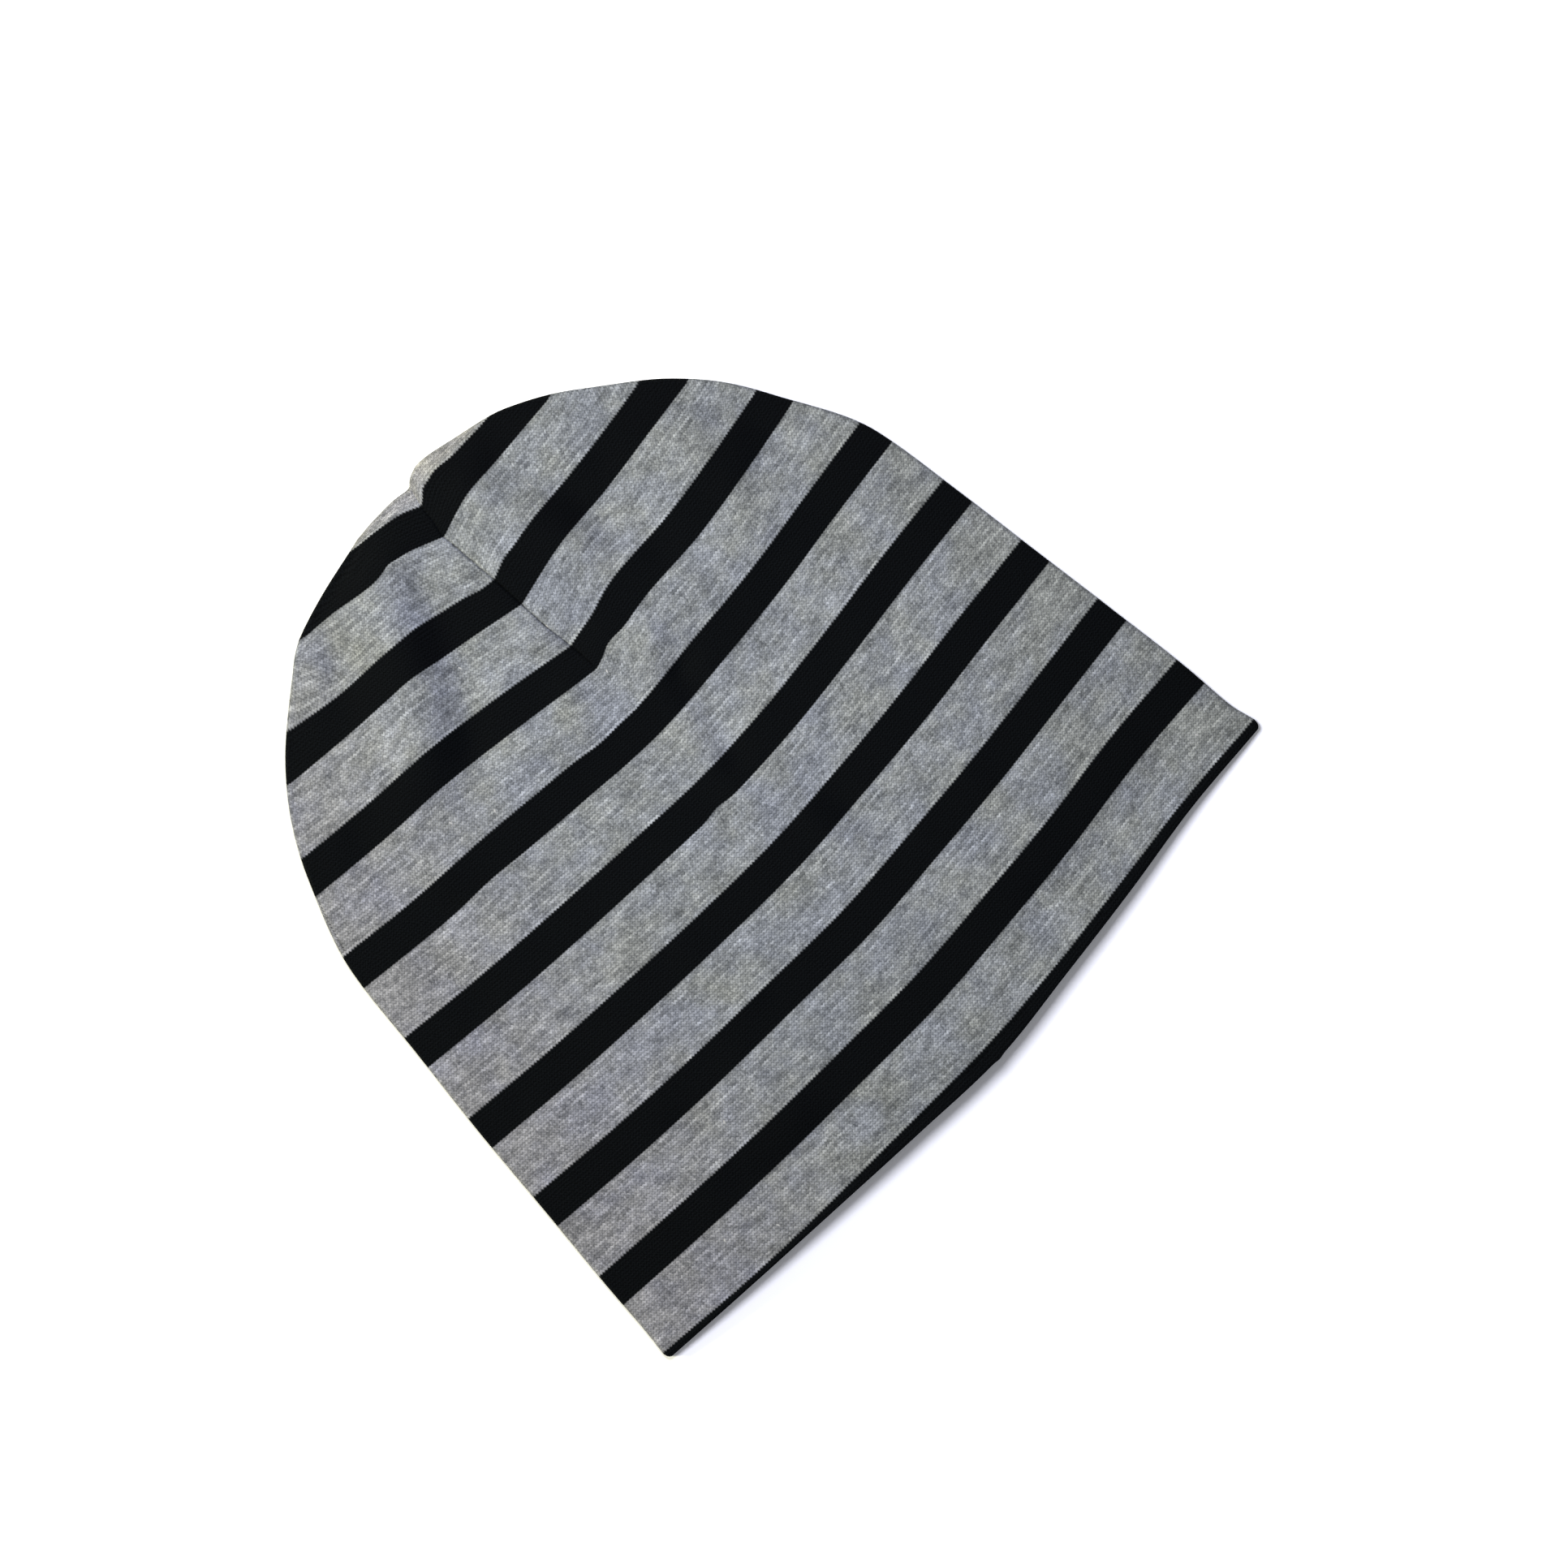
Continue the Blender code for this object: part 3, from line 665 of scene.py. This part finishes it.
class Nodes:
    """Short hands for a node tree: numbers and sockets may be mixed as inputs."""

    def __init__(self, tree):
        self.tree = tree

    def feed(self, socket, value):
        """Links a socket to an input, or sets the input to a plain value."""
        if isinstance(value, bpy.types.NodeSocket):
            self.tree.links.new(value, socket)
        elif value is not None:
            socket.default_value = value

    def new(self, kind, **settings):
        node = self.tree.nodes.new(kind)
        for key, value in settings.items():
            setattr(node, key, value)
        return node

    def math(self, operation, first, second=None, third=None):
        node = self.new("ShaderNodeMath", operation=operation)
        for socket, value in zip(node.inputs, (first, second, third)):
            self.feed(socket, value)
        return node.outputs[0]

    def ranged(self, value, low, high, to_low=0.0, to_high=1.0):
        """Goes smoothly from to_low to to_high while the value goes from low to high."""
        node = self.new("ShaderNodeMapRange", interpolation_type="SMOOTHSTEP")
        for socket, item in zip(node.inputs, (value, low, high, to_low, to_high)):
            self.feed(socket, item)
        return node.outputs[0]

    def mixed(self, factor, first, second, blend="MIX"):
        """Mixes two colours."""
        node = self.new("ShaderNodeMix", data_type="RGBA", blend_type=blend)
        self.feed(node.inputs[0], factor)
        self.feed(node.inputs[6], first)
        self.feed(node.inputs[7], second)
        return node.outputs[2]

    def vector(self, x, y, z=0.0):
        node = self.new("ShaderNodeCombineXYZ")
        for socket, value in zip(node.inputs, (x, y, z)):
            self.feed(socket, value)
        return node.outputs[0]

    def noise(self, vector, scale, detail=2.0, roughness=0.5):
        node = self.new("ShaderNodeTexNoise", noise_dimensions="3D")
        self.feed(node.inputs["Vector"], vector)
        node.inputs["Scale"].default_value = scale
        node.inputs["Detail"].default_value = detail
        node.inputs["Roughness"].default_value = roughness
        return node.outputs["Fac"]

    def map(self, name):
        """The values of one of the cloth's maps."""
        split = self.new("ShaderNodeSeparateXYZ")
        self.feed(split.inputs[0], self.new("ShaderNodeUVMap", uv_map=name).outputs[0])
        return split.outputs

    def speckle(self, vector):
        node = self.new("ShaderNodeTexWhiteNoise", noise_dimensions="3D")
        self.feed(node.inputs["Vector"], vector)
        return node.outputs["Value"]


def shader_group(name, inputs, outputs):
    """An empty group with named inputs and outputs, given as name and kind."""
    group = bpy.data.node_groups.new(name, "ShaderNodeTree")
    for label, kind in inputs:
        group.interface.new_socket(label, in_out="INPUT", socket_type=kind)
    for label, kind in outputs:
        group.interface.new_socket(label, in_out="OUTPUT", socket_type=kind)
    nodes = Nodes(group)
    return group, nodes, nodes.new("NodeGroupInput").outputs, nodes.new("NodeGroupOutput").inputs


def floats(*labels):
    return [(label, "NodeSocketFloat") for label in labels]


def colours(*labels):
    return [(label, "NodeSocketColor") for label in labels]


def stitches_group():
    """Face side of jersey: columns of V stitches, from counted wales and courses."""
    group, nodes, given, out = shader_group(
        "jersey stitches", floats("Wales", "Courses", "Slant"),
        floats("Height", "Tooth", "Row", "Stitch"))
    place = nodes.math("FRACT", given["Wales"])
    tooth = nodes.math("ABSOLUTE", nodes.math("MULTIPLY_ADD", place, 2.0, -1.0))
    lifted = nodes.math("SUBTRACT", given["Courses"],
                        nodes.math("MULTIPLY", tooth, given["Slant"]))
    loop = nodes.math("SINE", nodes.math("MULTIPLY", nodes.math("FRACT", lifted), math.pi))
    leg = nodes.math("SINE", nodes.math("MULTIPLY", tooth, math.pi))
    height = nodes.math("MULTIPLY", loop, nodes.math("MULTIPLY_ADD", leg, 0.32, 0.68))
    nodes.feed(out["Height"], height)
    nodes.feed(out["Tooth"], tooth)
    row = nodes.math("FLOOR", lifted)
    nodes.feed(out["Row"], row)
    half_wale = nodes.math("FLOOR", nodes.math("MULTIPLY", given["Wales"], 2.0))
    cell = nodes.vector(half_wale, row, 5.0)
    nodes.feed(out["Stitch"], nodes.speckle(cell))
    return group


# Streaks of the yarn: stretch across and along the hat, place in the noise, its detail and
# roughness, what counts the way along the hat, and the pattern's share in the shade
YARN_STREAKS = (
    (0.14, 0.9, 0.0, 3.0, 0.6, "Row", 1.10),
    (0.09, 0.28, 3.0, 3.0, 0.6, "Courses", 0.50),
    (0.045, 0.07, 5.0, 2.0, 0.5, "Courses", 0.20),
    (0.9, 1.5, 9.0, 3.0, 0.6, "Courses", 0.90),
)
STITCH_SHARE = 0.24
SHADE_POWER = 1.5
# Hue of the yarn: its slow pattern, in the streaks' first six columns, and how it warms
# towards the sides
HUE_STREAKS = (0.055, 0.05, 2.0, 5.0, 0.62, "Courses")
HUE_OFF_MIDDLE, HUE_WARMING = 0.0085, -0.14
ROSE_WALES = (-125.0, -22.0)   # where the rose tinge is whole and where it has gone
FLECK_RARITY = 0.9998


def heather_group():
    """Melange yarn: streaks along the courses, single flecks and slow changes of hue."""
    group, nodes, given, out = shader_group(
        "heather yarn", floats("Wales", "Courses", "Row", "Stitch")
        + colours("Dark", "Light", "Cool", "Warm", "Rose", "Fleck"), colours("Color"))

    def stretched(across, along, place, detail, roughness, count):
        return nodes.noise(nodes.vector(nodes.math("MULTIPLY", given["Wales"], across),
                                        nodes.math("MULTIPLY", given[count], along), place),
                           1.0, detail, roughness)

    total = 0.5
    for *pattern, share in YARN_STREAKS:
        swing = nodes.math("SUBTRACT", stretched(*pattern), 0.5)
        total = nodes.math("MULTIPLY_ADD", swing, share, total)
    swing = nodes.math("SUBTRACT", given["Stitch"], 0.5)
    total = nodes.math("MULTIPLY_ADD", swing, STITCH_SHARE, total)
    shade = nodes.math("MINIMUM", nodes.math("MAXIMUM", total, 0.0), 1.0)
    shade = nodes.math("POWER", shade, SHADE_POWER)
    off_middle = nodes.math("MULTIPLY", given["Wales"], HUE_OFF_MIDDLE)
    hue = nodes.math("MULTIPLY", nodes.math("MULTIPLY", off_middle, off_middle), HUE_WARMING)
    hue = nodes.math("ADD", stretched(*HUE_STREAKS), hue)
    hue = nodes.ranged(hue, 0.28, 0.68)
    tint = nodes.mixed(hue, given["Warm"], given["Cool"])
    yarn = nodes.mixed(shade, given["Dark"], given["Light"])
    yarn = nodes.mixed(1.0, yarn, tint, "MULTIPLY")
    rosy = nodes.ranged(given["Wales"], *ROSE_WALES, to_low=1.0, to_high=0.0)
    yarn = nodes.mixed(rosy, yarn, nodes.mixed(1.0, yarn, given["Rose"], "MULTIPLY"))
    fleck = nodes.math("GREATER_THAN", given["Stitch"], FLECK_RARITY)
    nodes.feed(out["Color"], nodes.mixed(fleck, yarn, given["Fleck"]))
    return group


# The soft border's shares of its softness outside and inside the black. A halfway mix still
# looks grey, so most of the border lies outside.
BORDER_OUT, BORDER_IN = 1.5, 0.5
# Shares of a stripe period: teeth, softness, and the fuzz of the black's edge, which is fitted to
# the photograph
CROWN_TEETH, HEM_TEETH, BORDER_SOFTNESS = 0.015, 0.006, 0.009
FUZZ_SWING, FUZZ_START = 0.012, -0.003


def stripe_group():
    """1 in the black stripes: toothed on the crown's side, nearly straight on the hem's."""
    group, nodes, given, out = shader_group(
        "knitted stripes", floats("Period", "Tooth", "Black Share", "Crown Teeth", "Hem Teeth",
                                  "Softness", "Fuzz"), floats("Black"))
    middle = nodes.math("SUBTRACT", given["Period"], nodes.math("ROUND", given["Period"]))
    half = nodes.math("MULTIPLY", given["Black Share"], 0.5)
    half = nodes.math("ADD", half, given["Fuzz"])
    swing = nodes.math("SUBTRACT", given["Tooth"], 0.5)
    crown = nodes.math("SUBTRACT", half, middle)
    crown = nodes.math("MULTIPLY_ADD", swing, given["Crown Teeth"], crown)
    hem = nodes.math("ADD", half, middle)
    hem = nodes.math("SUBTRACT", hem, nodes.math("MULTIPLY", swing, given["Hem Teeth"]))
    low = nodes.math("MULTIPLY", given["Softness"], -BORDER_OUT)
    high = nodes.math("MULTIPLY", given["Softness"], BORDER_IN)
    crown = nodes.ranged(crown, low, high)
    hem = nodes.ranged(hem, low, high)
    nodes.feed(out["Black"], nodes.math("MULTIPLY", crown, hem))
    return group


def seam_group():
    """Painted shade: 1 in the needle line of the dart and between the stitches of the side seam.
    """
    group, nodes, given, out = shader_group(
        "sewn seams", floats("From Dart", "From Rim", "Period", "Courses", "Line Width",
                             "Low In", "High In"), floats("Gap"))
    off_dart = nodes.math("ABSOLUTE", given["From Dart"])
    dart = nodes.ranged(off_dart, nodes.math("MULTIPLY", given["Line Width"], 0.25),
                        given["Line Width"], to_low=1.0, to_high=0.0)
    start = nodes.ranged(given["Period"], NEEDLE_LINE_START, NEEDLE_LINE_WHOLE)
    fade = nodes.ranged(given["Period"], NEEDLE_LINE_FADE, NEEDLE_LINE_FAINT,
                        to_low=1.0, to_high=0.3)
    # The needle line's painted shade is patchy along the courses
    patchy = nodes.noise(nodes.vector(given["Courses"], 4.0), 0.6, detail=2.0, roughness=0.6)
    patchy = nodes.ranged(patchy, 0.35, 0.65, to_low=0.35, to_high=1.0)
    for factor in (start, fade, patchy):
        dart = nodes.math("MULTIPLY", dart, factor)
    seam_in = nodes.ranged(given["Period"], SIDE_SEAM_START, SIDE_SEAM_FADE,
                           to_low=given["Low In"], to_high=given["High In"])
    off_side = nodes.math("SUBTRACT", given["From Rim"], seam_in)
    lean = nodes.math("DIVIDE", off_side, given["Line Width"])
    dash = nodes.math("FRACT", nodes.math("MULTIPLY_ADD", lean, 0.35, given["Courses"]))
    dash = nodes.math("ABSOLUTE", nodes.math("SUBTRACT", dash, 0.5))
    side = nodes.ranged(nodes.math("ABSOLUTE", off_side),
                        nodes.math("MULTIPLY", given["Line Width"], 0.4),
                        nodes.math("MULTIPLY", given["Line Width"], 1.3),
                        to_low=1.0, to_high=0.0)
    dash = nodes.ranged(dash, 0.42, 0.20, to_low=0.0, to_high=0.7)
    start = nodes.ranged(given["Period"], SIDE_SEAM_START, SIDE_DASHES_WHOLE)
    fade = nodes.ranged(given["Period"], SIDE_SEAM_FADE, SIDE_SEAM_END, to_low=1.0, to_high=0.0)
    for factor in (dash, start, fade):
        side = nodes.math("MULTIPLY", side, factor)
    nodes.feed(out["Gap"], nodes.math("MAXIMUM", dart, side))
    return group


STITCHES, HEATHER, STRIPES, SEAMS = (stitches_group(), heather_group(), stripe_group(),
                                     seam_group())


def place_group(nodes, group, **values):
    """Puts a group in a node tree and feeds its inputs by name."""
    node = nodes.new("ShaderNodeGroup")
    node.node_tree = group
    for label, value in values.items():
        nodes.feed(node.inputs[label.replace("_", " ")], value)
    return node.outputs


GREY_DARK = (0.0505, 0.0535, 0.0562, 1.0)
GREY_LIGHT = (0.304, 0.313, 0.318, 1.0)
GREY_COOL = (0.942, 0.97, 1.08, 1.0)
GREY_WARM = (1.005, 1.009, 0.96, 1.0)
GREY_ROSE = (1.0, 0.957, 1.055, 1.0)   # tinge towards the left side
CROWN_EDGE_PAINTED_LIGHT = (1.36, 1.27, 1.19, 1.0)   # painted light: lighter and warmer at the crown's top edge, where the yarn is drawn taut
FLECK_WHITE = (0.26, 0.26, 0.26, 1.0)
# Black jersey: the deep black takes the painted shade of the stitches' hollows, the lighter black
# the painted light on the loop tops, both mixed with random pile
BLACK_DEEP = (0.0003, 0.0004, 0.0006, 1.0)
BLACK_PILE_AND_LOOP_LIGHT = (0.003, 0.0037, 0.0046, 1.0)
# Painted shade in the dart's needle line and between the side seam's stitches
SEAM_SHADE = (0.035, 0.036, 0.038, 1.0)
FLOOR_PALE = (0.93, 0.93, 0.945, 1.0)
FLOOR_REACH, FLOOR_ROUGHNESS, FLOOR_SHINE = 3.0, 0.9, 0.1
ROOM_COLOUR, ROOM_STRENGTH = (0.97, 0.985, 1.04, 1.0), 0.42

KNIT_ROUGHNESS, KNIT_SHINE = 0.92, 0.03
RELIEF_STRENGTH, RELIEF_DEPTH = 0.4, 0.2 * MM
STITCH_SLANT = 0.5
COURSE_WANDER = 0.9   # width of a course's wander about its line, in courses
TAUT_AND_LIT_START, TAUT_AND_LIT_WHOLE = 8.10, 8.30   # stripe periods where the yarn is drawn taut and the painted light and shade of the crown's edge set in
SEAM_DARKNESS = 0.75


def grey_yarn(nodes, wales, courses, period, stitch):
    """Colour of the grey stripes with painted shade in the stitches' hollows; at the crown's taut
    top edge, painted light and painted shade between the parted legs.
    """
    yarn = place_group(nodes, HEATHER, Wales=wales, Courses=courses, Row=stitch["Row"],
                       Stitch=stitch["Stitch"], Dark=GREY_DARK, Light=GREY_LIGHT,
                       Cool=GREY_COOL, Warm=GREY_WARM, Rose=GREY_ROSE, Fleck=FLECK_WHITE)
    # Painted shade in the stitches' hollows and painted light on their tops
    painted_stitch_shade = nodes.ranged(stitch["Height"], 0.0, 0.8, to_low=0.66, to_high=1.09)
    grey = nodes.mixed(1.0, yarn["Color"], nodes.vector(painted_stitch_shade, painted_stitch_shade, painted_stitch_shade), "MULTIPLY")
    # Painted light: the crown's top edge is made lighter and warmer
    taut_and_lit = nodes.ranged(period, TAUT_AND_LIT_START, TAUT_AND_LIT_WHOLE)
    grey = nodes.mixed(taut_and_lit, grey, nodes.mixed(1.0, grey, CROWN_EDGE_PAINTED_LIGHT, "MULTIPLY"))
    # Painted shade between the parted legs at the crown's edge
    legs = nodes.math("ABSOLUTE", nodes.math("MULTIPLY_ADD", stitch["Tooth"], 2.0, -1.0))
    legs = nodes.ranged(legs, 0.35, 1.0, to_low=0.0, to_high=0.30)
    return nodes.mixed(nodes.math("MULTIPLY", legs, taut_and_lit), grey, GREY_DARK)


def striped_colour(nodes, wales, courses, period, stitch, pile, black):
    """Colour of the striped cloth with painted shade in its seams."""
    fuzz = nodes.math("MULTIPLY_ADD", pile, FUZZ_SWING, FUZZ_START)
    mask = place_group(nodes, STRIPES, Period=period, Tooth=stitch["Tooth"],
                       Black_Share=BLACK_SHARE, Crown_Teeth=CROWN_TEETH, Hem_Teeth=HEM_TEETH,
                       Softness=BORDER_SOFTNESS, Fuzz=fuzz)["Black"]
    grey = grey_yarn(nodes, wales, courses, period, stitch)
    colour = nodes.mixed(mask, grey, black)
    seams = nodes.map("seams")
    gap = place_group(nodes, SEAMS, From_Dart=seams["X"], Period=period, From_Rim=seams["Y"],
                      Courses=courses, Line_Width=SEAM_LINE_WIDTH, Low_In=SIDE_SEAM_IN_LOW,
                      High_In=SIDE_SEAM_IN_HIGH)["Gap"]
    return nodes.mixed(nodes.math("MULTIPLY", gap, SEAM_DARKNESS), colour, SEAM_SHADE,
                       "MULTIPLY")


def knit_material(name, striped):
    """Jersey in counted wales and courses, striped or all black."""
    material = bpy.data.materials.new(name)
    material.use_nodes = True
    nodes = Nodes(material.node_tree)
    shader = material.node_tree.nodes["Principled BSDF"]
    knit = nodes.map("knit")
    wales = nodes.math("DIVIDE", knit["X"], WALE)
    period = nodes.math("DIVIDE", knit["Y"], STRIPE_PERIOD)
    courses = nodes.math("MULTIPLY", period, float(COURSES_A_PERIOD))
    wander = nodes.noise(nodes.vector(wales, courses, 7.0), 0.24, detail=2.0, roughness=0.5)
    wander = nodes.math("MULTIPLY_ADD", wander, COURSE_WANDER, -COURSE_WANDER / 2)
    stitch = place_group(nodes, STITCHES, Wales=wales, Slant=STITCH_SLANT,
                         Courses=nodes.math("ADD", courses, wander))
    pile = nodes.noise(nodes.vector(wales, courses), 2.3, detail=3.0, roughness=0.7)
    # Painted shade in the stitches' hollows and painted light on the loop tops, mixed with random
    # pile
    shade = nodes.math("MULTIPLY_ADD", stitch["Height"], 0.25, pile)
    colour = nodes.mixed(nodes.ranged(shade, 0.40, 0.95), BLACK_DEEP, BLACK_PILE_AND_LOOP_LIGHT)
    if striped:
        colour = striped_colour(nodes, wales, courses, period, stitch, pile, colour)
    nodes.feed(shader.inputs["Base Color"], colour)
    shader.inputs["Roughness"].default_value = KNIT_ROUGHNESS
    shader.inputs["Specular IOR Level"].default_value = KNIT_SHINE
    relief = nodes.math("MULTIPLY_ADD", pile, 0.25, stitch["Height"])
    bump = nodes.new("ShaderNodeBump")
    bump.inputs["Strength"].default_value = RELIEF_STRENGTH
    bump.inputs["Distance"].default_value = RELIEF_DEPTH
    nodes.feed(bump.inputs["Height"], relief)
    nodes.feed(shader.inputs["Normal"], bump.outputs[0])
    return material


def plain_floor():
    """A pale floor under the hat."""
    sheet = bmesh.new()
    bmesh.ops.create_grid(sheet, x_segments=1, y_segments=1, size=FLOOR_REACH)
    mesh = bpy.data.meshes.new("floor")
    sheet.to_mesh(mesh)
    sheet.free()
    floor = bpy.data.objects.new("floor", mesh)
    bpy.context.scene.collection.objects.link(floor)
    material = bpy.data.materials.new("pale floor")
    material.use_nodes = True
    shader = material.node_tree.nodes["Principled BSDF"]
    shader.inputs["Base Color"].default_value = FLOOR_PALE
    shader.inputs["Roughness"].default_value = FLOOR_ROUGHNESS
    shader.inputs["Specular IOR Level"].default_value = FLOOR_SHINE
    mesh.materials.append(material)


def soft_light(name, place, aim, size, power, colour):
    """A square soft light that looks at aim."""
    lamp = bpy.data.lights.new(name, "AREA")
    lamp.color = colour
    lamp.shape = "SQUARE"
    lamp.size = size
    lamp.energy = power
    item = bpy.data.objects.new(name, lamp)
    item.location = place
    item.rotation_euler = (Vector(aim) - Vector(place)).to_track_quat("-Z", "Y").to_euler()
    bpy.context.scene.collection.objects.link(item)


def camera_above():
    """Looks straight down, turned so that the crown points to the picture's upper left."""
    data = bpy.data.cameras.new("camera")
    data.sensor_width = CAMERA_SENSOR
    data.lens = CAMERA_SENSOR * CAMERA_DISTANCE / (FRAME_PIXELS * METRES_A_PIXEL)
    data.clip_end = CAMERA_REACH
    camera = bpy.data.objects.new("camera", data)
    camera.location = (*CAMERA_CENTRE, CAMERA_DISTANCE + MEETING_HEIGHT)
    camera.rotation_euler = (0.0, 0.0, CAMERA_TURN)
    bpy.context.scene.collection.objects.link(camera)
    bpy.context.scene.camera = camera


def studio():
    """Plain floor, even room light, two soft lights and the camera."""
    plain_floor()
    world = bpy.data.worlds.new("soft room")
    bpy.context.scene.world = world
    world.use_nodes = True
    backdrop = world.node_tree.nodes["Background"]
    backdrop.inputs["Color"].default_value = ROOM_COLOUR
    backdrop.inputs["Strength"].default_value = ROOM_STRENGTH
    soft_light("overhead light", place=(0.055, 0.06, 0.42), aim=(0.0, 0.05, 0.0), size=0.15,
               power=2.1, colour=(0.96, 0.975, 1.09))
    soft_light("crown light", place=(-1.5, 1.8, 1.1), aim=(0.0, 0.0, 0.0), size=0.5,
               power=96.0, colour=(1.0, 0.975, 0.71))
    bpy.context.scene.view_settings.view_transform = "Standard"
    bpy.context.scene.view_settings.look = "None"
    camera_above()


def build():
    """Lays the two walls, turns the hem round their mouth and sets the studio."""
    striped = knit_material("striped jersey", True)
    black = knit_material("black jersey", False)
    front, back = Wall(FRONT_COLUMNS, FRONT_ROWS), Wall(BACK_COLUMNS, BACK_ROWS)
    front_height, back_height = front_heights(front), back_heights(back)
    front.reread_stripes(front_height)
    upper = add_piece("striped_front", cloth_mesh("striped_front", front, front_height, True),
                      striped)
    lower = add_piece("striped_back", cloth_mesh("striped_back", back, back_height, False),
                      striped)
    thicken(upper)
    thicken(lower)
    hem = add_piece("hem_fold", hem_mesh(mouth_path(front, front_height, back)),
                    black)
    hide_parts("front_panel")
    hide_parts("back_panel")
    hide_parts("hem_band")
    studio()


build()
